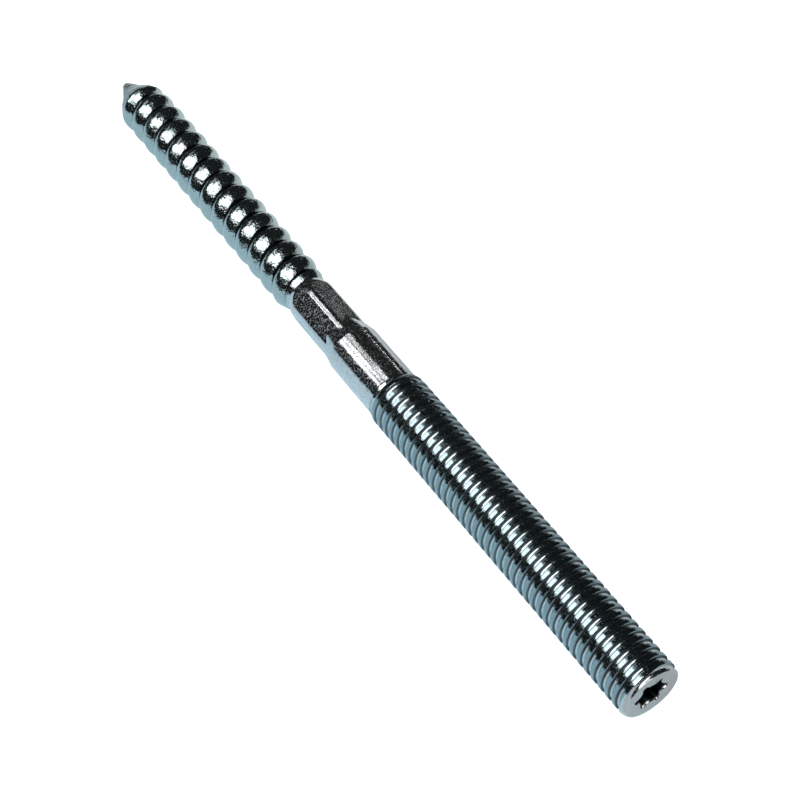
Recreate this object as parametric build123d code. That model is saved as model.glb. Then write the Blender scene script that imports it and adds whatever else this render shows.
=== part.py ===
from build123d import *

# A hanger bolt: one rolled and pressed steel pin, threaded at both ends.
# Along its own axis, from the wood end to the machine end, it has a short blunt point,
# a coarse wood thread with rounded ridges, a narrow neck, six pressed wrench flats,
# a plain shank, and a metric machine thread with a six-lobe socket in its end.
# The machine thread is fine, and stands here as a plain pin of its major diameter.
# The bolt lies on its side: +X points out of the machine end, +Z is up, and the origin
# is on the surface it lies on, under the middle of its length. Sizes are millimetres.

import os
from math import asin, cos, radians, sin

# Lengths along the axis, from the wood end
wood_thread_length = 49.2  # from the tip to the end of the neck
hexagon_length = 11.2  # from the neck to the shank's edge
shank_length = 8.8
machine_thread_length = 50.8  # run-out, thread and end chamfer

# Wood thread
wood_crest_diameter = 7.2
wood_root_diameter = 5.3
wood_pitch = 3.17
wood_groove_width = 0.3  # what is left at the root between two ridges
ridge_flats = 7  # narrow flats that make up the ridge's rounding
wood_thread_turn = 342.0  # where the ridge starts, in degrees about the axis
wood_fade_length = 2.6  # in which the ridge sinks away before the neck
ridge_foot_depth = 1.25  # how deep the ridge's foot is buried in the root
ridge_side_depth = 0.12  # how far its rounded flanks reach under the root

# Point
tip_diameter = 1.2
point_cone_diameter = 5.5  # where the cone ends and the shoulder starts
point_cone_length = 3.0
point_length = 6.0  # from the tip to the thread's full diameter

# Neck and wrench flats
neck_diameter = 5.6
neck_length = 0.8
hexagon_across_flats = 6.0
hexagon_corner_diameter = 6.6  # the corners are rounded
neck_taper_length = 2.2  # from the neck up to the rounded corners
corner_taper_length = 2.6  # in which the corners rise to the shank
flat_ramp_length = 2.8  # from the flats up to the shank's edge
hexagon_turn = 43.0  # the middle of a flat, in degrees about the axis

# Shank and machine thread, M8 with a pitch of 1.25
shank_diameter = 7.18  # the bare pin, the thread's pitch diameter
thread_major_diameter = 7.9
thread_runout_length = 1.6
end_chamfer_length = 1.4
end_face_diameter = 7.1

# Six-lobe socket, size 25
socket_across_points = 4.5
socket_across_valleys = 3.2
socket_point_radius = 0.38
socket_depth = 2.9
socket_cone_depth = 0.7  # below the full lobes
socket_floor_diameter = 0.8
socket_turn = 30.0  # the middle of a lobe, in degrees about the axis

# Places along the axis, measured from the tip
neck_z = wood_thread_length - neck_length
hexagon_z = wood_thread_length
shank_z = hexagon_z + hexagon_length
machine_z = shank_z + shank_length
end_z = machine_z + machine_thread_length

trim_margin = 0.2  # how far a trimming shape stands clear of the full thread


def turned(outline):
    """A solid turned about the axis from its outline of (radius, height) points."""
    points = [(0, outline[0][1]), *outline, (0, outline[-1][1])]
    return revolve(Plane.XZ * make_face(Polyline(*points, close=True)), Axis.Z)


def ridge_blank():
    """The right-handed ridge: a rounded crest on a foot that is buried in the root."""
    crest = wood_crest_diameter / 2
    root = wood_root_diameter / 2
    side = root - ridge_side_depth
    foot = root - ridge_foot_depth
    half_width = (wood_pitch - wood_groove_width) / 2
    rounding = (half_width**2 + (crest - side)**2) / (2 * (crest - side))
    full_angle = asin(half_width / rounding)
    angles = [full_angle * (2 * step / ridge_flats - 1) for step in range(ridge_flats + 1)]
    rounded = [(crest - rounding + rounding * cos(angle), rounding * sin(angle)) for angle in angles]
    section = make_face(Polyline(*rounded, (foot, half_width), (foot, -half_width), close=True))
    spine = Helix(wood_pitch, neck_z + 2 * wood_pitch, root)
    ridge = sweep(Plane.XZ * section, path=spine, is_frenet=True)
    return Pos(0, 0, -wood_pitch) * Rot(0, 0, wood_thread_turn) * ridge


def wood_end():
    """The threaded wood end: its point at zero height, its plain root ending in the neck."""
    root = wood_root_diameter / 2
    clear = wood_crest_diameter / 2 + trim_margin
    point = [(tip_diameter / 2, 0), (point_cone_diameter / 2, point_cone_length), (clear, point_length)]
    fade = [(clear, neck_z - wood_fade_length), (root - ridge_side_depth, neck_z)]
    ridge = ridge_blank() & turned(point + fade)
    core = turned([(root, -wood_pitch), (root, hexagon_z)])
    return (core + ridge) & turned([*point, (clear, hexagon_z)])


def shaft():
    """All that is turned from the neck to the machine end, before flats and socket."""
    neck = neck_diameter / 2
    corner = hexagon_corner_diameter / 2
    shank = shank_diameter / 2
    major = thread_major_diameter / 2
    ramp_z = shank_z - flat_ramp_length
    return turned([
        (neck, neck_z),
        (neck, hexagon_z),
        (corner, hexagon_z + neck_taper_length),
        (corner, ramp_z - corner_taper_length),
        (shank, ramp_z),
        (shank, machine_z),
        (major, machine_z + thread_runout_length),
        (major, end_z - end_chamfer_length),
        (end_face_diameter / 2, end_z),
    ])


def pressed_away():
    """What the dies take from the pin: all outside a hexagon, up to a sloping end."""
    corner_turn = hexagon_turn + 30
    hexagon = RegularPolygon(hexagon_across_flats / 2, 6, major_radius=False, rotation=corner_turn)
    dies = extrude(Pos(0, 0, hexagon_z) * (Circle(thread_major_diameter) - hexagon), hexagon_length)
    ramp_z = shank_z - flat_ramp_length
    ramp = turned([(hexagon_across_flats / 2, ramp_z), (shank_diameter / 2, shank_z)])
    return dies - ramp


def six_lobe_section():
    """The socket's section: six rounded points, with round noses between them."""
    point_offset = socket_across_points / 2 - socket_point_radius
    valley = socket_across_valleys / 2
    reach = point_offset * cos(radians(30))
    # A nose touches the points on both its sides without a corner.
    squares = socket_point_radius**2 - valley**2 - point_offset**2 + 2 * valley * reach
    nose_radius = squares / (2 * (valley - reach - socket_point_radius))
    nose = Pos(valley + nose_radius, 0) * Circle(nose_radius)
    section = Circle(valley)
    for step in range(6):
        section += Rot(0, 0, socket_turn + 60 * step) * lobe(point_offset, valley + nose_radius)
    for step in range(6):
        section -= Rot(0, 0, socket_turn + 60 * step + 30) * nose
    return section


def lobe(point_offset, nose_offset):
    """One point of the socket: its round end, and the wedge that joins it to the middle."""
    side = nose_offset * Vector(1, 0).rotate(Axis.Z, 30)
    wedge = make_face(Polyline((0, 0), side, (point_offset, 0), (side.X, -side.Y), close=True))
    return Pos(point_offset, 0) * Circle(socket_point_radius) + wedge


def socket():
    """The pressed socket, with a shallow cone below its full lobes."""
    lobes_z = end_z - socket_depth
    lobes = extrude(Pos(0, 0, lobes_z) * six_lobe_section(), 2 * socket_depth)
    floor = (socket_floor_diameter / 2, lobes_z - socket_cone_depth)
    cone = turned([floor, (socket_across_valleys / 2, lobes_z)])
    return lobes + cone


def hanger_bolt():
    standing = wood_end() + shaft() - pressed_away() - socket()
    return Pos(-end_z / 2, 0, thread_major_diameter / 2) * Rot(0, 90, 0) * standing


bolt = hanger_bolt()
bolt.label = "hanger_bolt"
os.makedirs("parts", exist_ok=True)
export_step(bolt, "parts/hanger_bolt.step")
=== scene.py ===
from math import atan2, cos, pi, radians, sin, tan

import bmesh
import bpy
import numpy as np
from mathutils import Matrix, Vector


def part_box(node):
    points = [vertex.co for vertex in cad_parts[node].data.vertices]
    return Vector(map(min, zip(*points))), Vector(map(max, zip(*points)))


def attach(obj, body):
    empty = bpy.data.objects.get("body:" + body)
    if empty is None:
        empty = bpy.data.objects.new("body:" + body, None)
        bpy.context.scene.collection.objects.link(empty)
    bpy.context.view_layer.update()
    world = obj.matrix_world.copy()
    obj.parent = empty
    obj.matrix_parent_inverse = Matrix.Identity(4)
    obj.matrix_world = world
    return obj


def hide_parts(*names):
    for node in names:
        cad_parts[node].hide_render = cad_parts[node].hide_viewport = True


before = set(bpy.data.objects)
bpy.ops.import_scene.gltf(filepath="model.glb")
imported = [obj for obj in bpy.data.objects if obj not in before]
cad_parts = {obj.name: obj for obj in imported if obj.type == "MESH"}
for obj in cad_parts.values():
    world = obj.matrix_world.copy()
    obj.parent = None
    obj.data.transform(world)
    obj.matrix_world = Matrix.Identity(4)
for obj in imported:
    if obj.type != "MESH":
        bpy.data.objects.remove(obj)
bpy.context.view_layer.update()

# The bolt lies along X, over the middle of its length. Its sizes are in millimetres, and
# places are measured along its axis from the wood tip. Turns are measured about the axis
# from straight down towards +Y.
MM = 0.001
box_low, box_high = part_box("hanger_bolt")
END = round((box_high.x - box_low.x) / MM, 2)
AXIS_HEIGHT = round(box_high.z / MM / 2, 2)

# Sections along the bolt
POINT_END, NECK_START, HEX_START, SHANK_START, MACHINE_START = 6.0, 49.15, 49.2, 60.4, 69.2

# Point and wood thread
TIP_RADIUS, CONE_RADIUS, CONE_END = 0.6, 1.95, 2.7
SHOULDER_RADIUS, SHOULDER_END = 2.85, 4.0
POINT_ROUNDING = 0.15  # where the point cuts the ridge
WOOD_CREST, WOOD_ROOT, WOOD_PITCH = 3.58, 2.65, 3.17
WOOD_GROOVE = 0.1  # what is left at the root between two ridges
WOOD_TURN = radians(342.0)
FADE_LENGTH = 2.8  # in which the ridge sinks away before the neck
CLEAR = 0.2  # how far a trimming shape stands clear of the crest

# Neck, flats and shank
NECK_RADIUS, FLAT_RADIUS, CORNER_RADIUS, SHANK_RADIUS = 2.8, 3.0, 3.3, 3.58
NECK_TAPER = 1.6  # from the neck up to the rounded corners
RAMP_LENGTH = 2.8  # from the flats up to the shank's edge
CORNER_ROUNDING = 0.06
FLAT_TURN = radians(43.0)

# Machine thread, with its section as heights (1 at the crest) by distance from the crest
MACHINE_PITCH, MACHINE_CREST, MACHINE_ROOT = 1.25, 3.93, 3.5
MACHINE_TURN = radians(80.0)
CREST_OFFSETS = [0, 0.23, 0.32, 0.4, 0.48, 0.56, 0.625]
CREST_HEIGHTS = [1, 0.985, 0.74, 0.4, 0.17, 0.04, 0]
RUNOUT, CHAMFER_LENGTH, FACE_RADIUS = 1.6, 0.45, 3.6

# Six-lobe socket
SOCKET_POINT, SOCKET_VALLEY, SOCKET_ROUND = 2.25, 1.6, 0.38
SOCKET_DEPTH, SOCKET_CONE, SOCKET_FLOOR = 2.9, 0.7, 0.4
SOCKET_RIM = [(0.0, 0.24), (0.06, 0.12), (0.25, 0.0)]  # (depth, how much wider) of its edge
SOCKET_TURN = radians(30.0)

# The mesh: points round the axis, and rows along it at distances from each thread's crest
COLUMNS = 120
FIRST_TURN = radians(1.0)  # puts a column on each corner of the hexagon
TURNS = FIRST_TURN + np.arange(COLUMNS) / COLUMNS * 2 * pi
WOOD_ROWS = [-1.535, -1.45, -1.3, -1.05, -0.8, -0.5, -0.25, 0, 0.25, 0.5, 0.8, 1.05, 1.3, 1.45, 1.535]
MACHINE_ROWS = [-0.625, -0.56, -0.48, -0.4, -0.32, -0.23, 0.23, 0.32, 0.4, 0.48, 0.56]
SHARP_ANGLE = radians(32)


def smooth(x):
    x = np.clip(x, 0.0, 1.0)
    return x * x * (3 - 2 * x)


def soft_min(a, b, width):
    """The smaller of two radii, with the corner between them rounded over."""
    share = np.clip(0.5 + 0.5 * (b - a) / width, 0.0, 1.0)
    return b + (a - b) * share - width * share * (1 - share)


def off_crest(s, turn, pitch, start_turn):
    """Distance along the axis from the nearest crest of a right-handed thread."""
    place = s / pitch - (turn - start_turn) / (2 * pi)
    return (place - np.round(place)) * pitch


def off_middle(turn, middle_turn):
    """Angle from the nearest of six middles spaced evenly about the axis."""
    return (turn - middle_turn + pi / 6) % (pi / 3) - pi / 6


def wood_radius(s, turn):
    """Rounded ridges on the root, cut by the point and sinking away before the neck."""
    off = np.abs(off_crest(s, turn, WOOD_PITCH, WOOD_TURN))
    half = (WOOD_PITCH - WOOD_GROOVE) / 2
    height = WOOD_CREST - WOOD_ROOT
    rounding = (half**2 + height**2) / (2 * height)
    dome = WOOD_CREST - rounding + np.sqrt(np.maximum(rounding**2 - off**2, 0.0))
    thread = np.maximum(dome, WOOD_ROOT)
    point_radii = [TIP_RADIUS, CONE_RADIUS, SHOULDER_RADIUS, WOOD_CREST + CLEAR]
    point = np.interp(s, [0, CONE_END, SHOULDER_END, POINT_END], point_radii)
    fade = np.interp(s, [NECK_START - FADE_LENGTH, NECK_START], [WOOD_CREST + CLEAR, NECK_RADIUS])
    return np.minimum(soft_min(thread, point, POINT_ROUNDING), np.maximum(fade, WOOD_ROOT))


def middle_radius(s, turn):
    """Neck, pressed flats between rounded corners, their sloping ends, and shank."""
    outline = np.interp(s, [HEX_START, HEX_START + NECK_TAPER], [NECK_RADIUS, CORNER_RADIUS])
    flats = FLAT_RADIUS / np.cos(off_middle(turn, FLAT_TURN))
    pressed = soft_min(outline, flats, CORNER_ROUNDING)
    ramp_start = SHANK_START - RAMP_LENGTH
    ramp_places = [ramp_start - 0.01, ramp_start, SHANK_START]  # no ramp before its start
    ramp = np.interp(s, ramp_places, [0, FLAT_RADIUS, SHANK_RADIUS])
    return np.where(s < SHANK_START, np.maximum(pressed, ramp), SHANK_RADIUS)


def machine_radius(s, turn):
    """The rolled M8 thread, rising out of the shank and cut by the end's chamfer."""
    off = np.abs(off_crest(s, turn, MACHINE_PITCH, MACHINE_TURN))
    height = np.interp(off, CREST_OFFSETS, CREST_HEIGHTS)
    thread = MACHINE_ROOT + (MACHINE_CREST - MACHINE_ROOT) * height
    thread = SHANK_RADIUS + (thread - SHANK_RADIUS) * smooth((s - MACHINE_START) / RUNOUT)
    cone = np.interp(s, [END - CHAMFER_LENGTH, END], [MACHINE_CREST, FACE_RADIUS])
    return np.minimum(thread, cone)


def socket_radius(turn):
    """The six-lobe section: round points joined by round noses."""
    centre = SOCKET_POINT - SOCKET_ROUND
    reach = centre * cos(pi / 6)
    squares = SOCKET_ROUND**2 - SOCKET_VALLEY**2 - centre**2 + 2 * SOCKET_VALLEY * reach
    nose = squares / (2 * (SOCKET_VALLEY - reach - SOCKET_ROUND))
    far = SOCKET_VALLEY + nose
    share = SOCKET_ROUND / (SOCKET_ROUND + nose)
    touch = atan2(far * sin(pi / 6) * share, centre + (far * cos(pi / 6) - centre) * share)
    off = np.abs(off_middle(turn, SOCKET_TURN))
    away = pi / 6 - off
    lobe_square = np.maximum(SOCKET_ROUND**2 - (centre * np.sin(off)) ** 2, 0)
    nose_square = np.maximum(nose**2 - (far * np.sin(away)) ** 2, 0)
    lobe = centre * np.cos(off) + np.sqrt(lobe_square)
    valley = far * np.cos(away) - np.sqrt(nose_square)
    return np.where(off < touch, lobe, valley)


def helical_rows(start, end, pitch, start_turn, offsets):
    """Rows that follow the thread, held back to the section's ends."""
    share = (TURNS - start_turn) / (2 * pi)
    numbers = range(int(start / pitch) - 2, int(end / pitch) + 3)
    middles = [(number + share) * pitch for number in numbers]
    return [np.clip(middle + offset, start, end) for middle in middles for offset in offsets]


def straight_rows(places):
    return [np.full(COLUMNS, float(place)) for place in places]


def middle_places():
    """Where the rows of the neck, flats and shank are."""
    taper_end = HEX_START + NECK_TAPER
    ramp_start = SHANK_START - RAMP_LENGTH
    neck = [NECK_START, NECK_START + 0.02, HEX_START - 0.01]
    taper = np.linspace(HEX_START, taper_end, 18)
    flats = np.linspace(taper_end, ramp_start, 8)[1:]
    ramp = np.linspace(ramp_start, SHANK_START, 32)[1:]
    shank = [SHANK_START + 0.1, SHANK_START + 2, SHANK_START + 5, MACHINE_START]
    return [*neck, *taper, *flats, *ramp, *shank]


def socket_rings():
    """The socket's rings, from its sloping rim down to the floor of its cone."""
    lobes = socket_radius(TURNS)
    walls = SOCKET_RIM + [(SOCKET_DEPTH / 2, 0.0), (SOCKET_DEPTH, 0.0)]
    rings = [(np.full(COLUMNS, END - depth), lobes + wider) for depth, wider in walls]
    for depth, radius in [(SOCKET_DEPTH + 0.02, SOCKET_VALLEY), (SOCKET_DEPTH + SOCKET_CONE, SOCKET_FLOOR)]:
        rings.append((np.full(COLUMNS, END - depth), np.full(COLUMNS, radius)))
    return rings


def bolt_rings():
    """The bolt's skin as rings of (place, radius), from the tip round into the socket."""
    wood = straight_rows([0, 0.1, 0.3])
    wood += helical_rows(0.3, NECK_START, WOOD_PITCH, WOOD_TURN, WOOD_ROWS)
    middle = straight_rows(middle_places())
    machine = helical_rows(MACHINE_START, END, MACHINE_PITCH, MACHINE_TURN, MACHINE_ROWS)
    rings = [(np.zeros(COLUMNS), np.full(COLUMNS, TIP_RADIUS / 2))]
    for rows, radius_at in [(wood, wood_radius), (middle, middle_radius), (machine, machine_radius)]:
        rings += [(row, radius_at(row, TURNS)) for row in rows]
    return np.array(rings + socket_rings())


def bolt_mesh():
    rings = bolt_rings()
    places, radii = rings[:, 0], rings[:, 1]
    across, up = radii * np.sin(TURNS), AXIS_HEIGHT - radii * np.cos(TURNS)
    points = np.stack([places - END / 2, across, up], axis=-1).reshape(-1, 3) * MM
    count = len(rings)
    faces = []
    for row in range(count - 1):
        here, there = row * COLUMNS, (row + 1) * COLUMNS
        for column in range(COLUMNS):
            after = (column + 1) % COLUMNS
            faces.append((here + column, there + column, there + after, here + after))
    faces.append(tuple(range(COLUMNS)))
    faces.append(tuple(range(count * COLUMNS - 1, (count - 1) * COLUMNS - 1, -1)))
    mesh = bpy.data.meshes.new("hanger bolt")
    mesh.from_pydata(points.tolist(), [], faces)
    return mesh


def add_object(name, data):
    thing = bpy.data.objects.new(name, data)
    bpy.context.scene.collection.objects.link(thing)
    return thing


def make_bolt():
    """The skin, cleaned of the rows that were held back onto one another."""
    mesh = bolt_mesh()
    work = bmesh.new()
    work.from_mesh(mesh)
    bmesh.ops.remove_doubles(work, verts=work.verts, dist=2e-7)
    bmesh.ops.dissolve_degenerate(work, edges=work.edges, dist=1e-8)
    bmesh.ops.recalc_face_normals(work, faces=work.faces)
    work.to_mesh(mesh)
    work.free()
    mesh.polygons.foreach_set("use_smooth", [True] * len(mesh.polygons))
    mesh.set_sharp_from_angle(angle=SHARP_ANGLE)
    mesh.materials.append(zinc())
    return add_object("hanger_bolt_visual", mesh)


class Graph:
    """Short calls for a material's nodes."""

    def __init__(self, name):
        self.material = bpy.data.materials.new(name)
        self.material.use_nodes = True
        self.nodes = self.material.node_tree.nodes
        self.links = self.material.node_tree.links
        self.inputs = self.nodes["Principled BSDF"].inputs

    def put(self, socket, value):
        if isinstance(value, bpy.types.NodeSocket):
            self.links.new(value, socket)
        else:
            socket.default_value = value

    def source(self, kind, output):
        return self.nodes.new(kind).outputs[output]

    def apart(self, vector):
        node = self.nodes.new("ShaderNodeSeparateXYZ")
        self.put(node.inputs["Vector"], vector)
        return node.outputs

    def grain(self, place, scale, detail, rough):
        node = self.nodes.new("ShaderNodeTexNoise")
        given = {"Vector": place, "Scale": scale, "Detail": detail, "Roughness": rough}
        for name, value in given.items():
            self.put(node.inputs[name], value)
        return node.outputs["Fac"]

    def maths(self, operation, *values):
        node = self.nodes.new("ShaderNodeMath")
        node.operation = operation
        for socket, value in zip(node.inputs, values):
            self.put(socket, value)
        return node.outputs["Value"]

    def both(self, *factors):
        product = factors[0]
        for factor in factors[1:]:
            product = self.maths("MULTIPLY", product, factor)
        return product

    def either(self, a, b):
        return self.maths("MAXIMUM", a, b)

    def spread(self, value, low, high, out_low, out_high):
        node = self.nodes.new("ShaderNodeMapRange")
        given = {"Value": value, "From Min": low, "From Max": high, "To Min": out_low, "To Max": out_high}
        for name, number in given.items():
            self.put(node.inputs[name], number)
        return node.outputs["Result"]

    def rise(self, value, low, high):
        return self.spread(value, low, high, 0.0, 1.0)

    def fall(self, value, low, high):
        return self.spread(value, low, high, 1.0, 0.0)

    def mix(self, factor, a, b):
        node = self.nodes.new("ShaderNodeMix")
        node.data_type = "RGBA"
        for index, value in [(0, factor), (6, a), (7, b)]:
            self.put(node.inputs[index], value)
        return node.outputs[2]


# The zinc's colours
PLAIN_DARK, PLAIN_LIGHT = (0.6, 0.62, 0.63, 1), (0.68, 0.68, 0.7, 1)
WOOD_TINT = (0.4, 0.49, 0.49, 1)
# The machine crests' darker tint is painted shade, standing in for the darker surroundings they reflect.
MACHINE_TINT, MACHINE_CREST_PAINTED_SHADE = (0.52, 0.6, 0.62, 1), (0.24, 0.33, 0.37, 1)
# The last colour here is near-black painted shade for the grooves, tip-facing flanks and socket.
STAIN, POINT_TINT, GROOVE_PAINTED_SHADE = (0.25, 0.3, 0.32, 1), (0.02, 0.028, 0.028, 1), (0.012, 0.018, 0.02, 1)
WHITE, BLACK = (1, 1, 1, 1), (0, 0, 0, 1)


class Skin(Graph):
    """The bolt's material, with where each kind of surface is as factors from 0 to 1."""

    def __init__(self, name):
        super().__init__(name)
        self.place = self.source("ShaderNodeTexCoord", "Object")
        x, y, z = self.apart(self.place)
        along = self.maths("MULTIPLY_ADD", x, 1 / MM, END / 2)
        lifted = self.maths("SUBTRACT", z, AXIS_HEIGHT * MM)
        squares = self.maths("MULTIPLY_ADD", y, y, self.maths("MULTIPLY", lifted, lifted))
        radius = self.maths("DIVIDE", self.maths("SQRT", squares), MM)
        self.fine = self.grain(self.place, 4600.0, 2.0, 0.65)
        self.broad = self.grain(self.place, 1100.0, 3.0, 0.6)
        self.find_sections(along)
        self.find_grooves(along, radius)

    def find_sections(self, along):
        machine_start = self.rise(along, MACHINE_START, MACHINE_START + 1.2)
        machine_end = self.fall(along, END - 0.8, END - 0.6)
        flats_start = self.rise(along, HEX_START, HEX_START + 0.6)
        shank_end = self.fall(along, MACHINE_START - 0.6, MACHINE_START)
        blotches = self.spread(self.broad, 0.44, 0.58, 0.55, 1.0)
        self.on_wood = self.fall(along, HEX_START - 0.4, HEX_START)
        self.on_machine = self.both(machine_start, machine_end)
        self.on_middle = self.both(flats_start, shank_end)
        self.on_point = self.both(self.fall(along, 3.4, 5.2), blotches)

    def find_grooves(self, along, radius):
        """Painted shade: near-black roots and tip-facing flanks of the ridges, machine grooves and socket,
        standing in for the shade in these hollows and the dark that the flanks reflect.
        """
        facing = self.apart(self.source("ShaderNodeTexCoord", "Normal"))["X"]
        past_point = self.rise(along, 4.4, 5.2)
        root, flank = self.fall(radius, 2.7, 2.84), self.fall(facing, -0.48, -0.36)
        wood = self.both(self.on_wood, past_point, self.either(root, flank))
        self.on_crest = self.rise(radius, 3.84, 3.88)
        above_root = self.spread(radius, SHANK_RADIUS, 3.64, 0.0, 0.75)
        below_crest = self.maths("SUBTRACT", 1.0, self.on_crest)
        machine = self.both(self.on_machine, above_root, below_crest)
        floor = END - SOCKET_DEPTH - SOCKET_CONE
        above_floor = self.rise(along, floor - 0.2, floor - 0.1)
        below_rim = self.fall(along, END - 0.3, END - 0.05)
        socket = self.both(above_floor, below_rim, self.fall(radius, 2.4, 2.6))
        self.painted_groove_shade = self.either(self.either(wood, machine), socket)

    def colour(self):
        cloud = self.grain(self.place, 150.0, 2.0, 0.5)
        plain = self.mix(self.rise(cloud, 0.35, 0.65), PLAIN_DARK, PLAIN_LIGHT)
        tint = self.mix(self.maths("MULTIPLY", self.on_wood, 0.8), plain, WOOD_TINT)
        # Painted shade: the machine crests get a darker tint than the flanks, for the darker surroundings
        # they reflect.
        rolled = self.mix(self.on_crest, MACHINE_TINT, MACHINE_CREST_PAINTED_SHADE)
        tint = self.mix(self.maths("MULTIPLY", self.on_machine, 0.9), tint, rolled)
        tint = self.mix(self.spread(self.fine, 0.5, 0.72, 0.0, 0.45), tint, STAIN)
        # The point is made near-black in blotches.
        tint = self.mix(self.on_point, tint, POINT_TINT)
        # Painted shade: near-black in the grooves, tip-facing flanks and socket.
        return self.mix(self.painted_groove_shade, tint, GROOVE_PAINTED_SHADE)

    def roughness(self):
        """Matt specks on a bright ground, more matt between the threads and in the grooves."""
        matt = self.maths("MULTIPLY_ADD", self.on_middle, 0.17, 0.26)
        speckled = self.maths("MULTIPLY_ADD", self.rise(self.fine, 0.5, 0.66), matt, 0.06)
        return self.either(speckled, self.maths("MULTIPLY", self.painted_groove_shade, 0.4))

    def bumps(self):
        """Fine grain, with a ripple that is deeper on the wood thread."""
        depth = self.spread(self.on_wood, 0.0, 1.0, 0.006 * MM, 0.1 * MM)
        ripple = self.maths("MULTIPLY", self.broad, depth)
        bump = self.nodes.new("ShaderNodeBump")
        bump.inputs["Strength"].default_value = 1.0
        bump.inputs["Distance"].default_value = 1.0
        self.put(bump.inputs["Height"], self.maths("MULTIPLY_ADD", self.fine, 0.01 * MM, ripple))
        return bump.outputs["Normal"]


def zinc():
    """Bright zinc: a mirror-like skin broken up by fine matt specks, with painted shade: darker machine
    crests and near-black grooves and socket.
    """
    skin = Skin("zinc")
    skin.inputs["Metallic"].default_value = 1
    skin.put(skin.inputs["Base Color"], skin.colour())
    # The painted groove shade also takes the reflections out of the grooves, flanks and socket.
    skin.put(skin.inputs["Specular Tint"], skin.mix(skin.painted_groove_shade, WHITE, BLACK))
    skin.put(skin.inputs["Roughness"], skin.roughness())
    skin.put(skin.inputs["Normal"], skin.bumps())
    return skin.material


def floor_material():
    """A pale floor that the camera sees as white. It also glows, though it is no lamp, as painted light for
    the bolt to reflect: bluish in front and neutral behind, brighter behind the wood thread, and without
    this glow past the end face."""
    graph = Graph("floor")
    graph.inputs["Base Color"].default_value = (0.62, 0.7, 0.74, 1)
    graph.inputs["Roughness"].default_value = 1
    graph.inputs["Specular IOR Level"].default_value = 0
    graph.inputs["Emission Strength"].default_value = 1
    x, y, _ = graph.apart(graph.source("ShaderNodeTexCoord", "Object"))
    behind = graph.rise(y, -0.004, 0.01)
    by_wood = graph.fall(x, -0.025, -0.005)
    past_face = graph.rise(x, 0.0595, 0.061)
    # Painted light: the floor's glow, which shows only in the bolt's reflections.
    far_glow = graph.mix(by_wood, (0.035, 0.01, 0.0, 1), (0.34, 0.34, 0.31, 1))
    glow = graph.mix(behind, (0.08, 0.2, 0.26, 1), far_glow)
    glow = graph.mix(past_face, glow, (0.01, 0.01, 0.0, 1))
    seen = graph.source("ShaderNodeLightPath", "Is Camera Ray")
    graph.put(graph.inputs["Emission Color"], graph.mix(seen, glow, (0.9, 0.9, 0.9, 1)))
    return graph.material


def make_floor():
    reach = 6.0
    mesh = bpy.data.meshes.new("floor")
    corners = [(-reach, -reach, 0), (reach, -reach, 0), (reach, reach, 0), (-reach, reach, 0)]
    mesh.from_pydata(corners, [], [(0, 1, 2, 3)])
    mesh.materials.append(floor_material())
    add_object("floor", mesh)


def make_world():
    """A dark room round the bolt, which the camera sees as white."""
    world = bpy.data.worlds.new("world")
    bpy.context.scene.world = world
    world.use_nodes = True
    nodes, links = world.node_tree.nodes, world.node_tree.links
    shade = nodes.new("ShaderNodeMix")
    shade.data_type = "RGBA"
    shade.inputs[6].default_value = (0.016, 0.018, 0.018, 1)
    shade.inputs[7].default_value = WHITE
    links.new(nodes.new("ShaderNodeLightPath").outputs["Is Camera Ray"], shade.inputs[0])
    links.new(shade.outputs[2], nodes["Background"].inputs["Color"])


LIGHT_DISTANCE = 0.6


def turn_to(thing, across, up, towards):
    """Turns a thing so that its own X, Y and Z point in the three directions."""
    thing.rotation_mode = "QUATERNION"
    thing.rotation_quaternion = Matrix((across, up, towards)).transposed().to_quaternion()


def area_light(name, length, width, radiance):
    light = bpy.data.lights.new(name, "AREA")
    light.shape = "RECTANGLE"
    light.size, light.size_y = length, width
    light.energy = radiance * pi * length * width
    return add_object(name, light)


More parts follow.
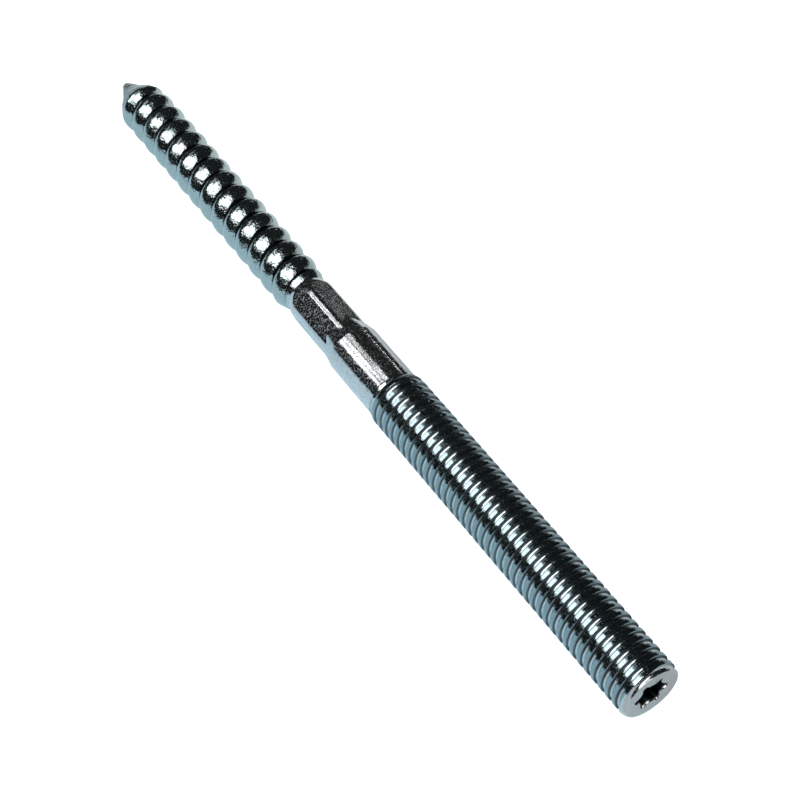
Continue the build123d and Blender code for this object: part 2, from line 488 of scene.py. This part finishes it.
def softbox(name, low_tilt, high_tilt, start, end, radiance):
    """A light along the bolt, between two tilts in degrees from the vertical towards -Y."""
    tilt = radians(low_tilt + high_tilt) / 2
    width = 2 * LIGHT_DISTANCE * tan(radians(high_tilt - low_tilt) / 2)
    box = area_light(name, end - start, width, radiance)
    towards = Vector((0, -sin(tilt), cos(tilt)))
    across = Vector((1, 0, 0))
    turn_to(box, across, towards.cross(across), towards)
    box.location = towards * LIGHT_DISTANCE + across * (start + end) / 2


def overhead(name, middle, size, turn, radiance):
    """A level panel over the bolt, turned in degrees and facing down."""
    panel = area_light(name, *size, radiance)
    panel.location = (*middle, LIGHT_DISTANCE)
    panel.rotation_euler = (0, 0, radians(turn))


def make_lights():
    overhead("left light, far half", (-0.235, -0.31), (0.47, 0.25), 8, 3.2)
    overhead("left light, near half", (-0.32, -0.55), (0.64, 0.25), 8, 3.2)
    overhead("right light", (0.62, -0.13), (1.3, 0.62), 14, 2.6)
    for low, high, radiance in [(-4, 4, 0.04), (4, 10, 0.08), (10, 15, 0.1), (15, 19, 0.18)]:
        softbox("left light edge", low, high, -0.55, -0.25, radiance)
    softbox("corner light", -4, 13, -0.475, -0.424, 3.0)
    softbox("flat light", -59.8, -58.8, -0.457, -0.43, 2.0)
    softbox("back strip", -66.2, -64.6, -0.405, -0.373, 6.0)


def make_camera():
    """The camera looks down on the bolt from past its machine end, on the -Y side."""
    azimuth, elevation = radians(56.39), radians(50.19)
    right = Vector((cos(azimuth), sin(azimuth), 0))
    back = Vector((sin(azimuth) * cos(elevation), -cos(azimuth) * cos(elevation), sin(elevation)))
    data = bpy.data.cameras.new("camera")
    data.sensor_width, data.lens, data.clip_start = 36, 81.0, 0.005
    camera = add_object("camera", data)
    turn_to(camera, right, back.cross(right), back)
    camera.location = (0.12825, -0.07801, 0.17354)
    bpy.context.scene.camera = camera
    bpy.context.scene.view_settings.view_transform = "Standard"


bolt = make_bolt()
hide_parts("hanger_bolt")
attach(bolt, "root")
make_floor()
make_lights()
make_world()
make_camera()
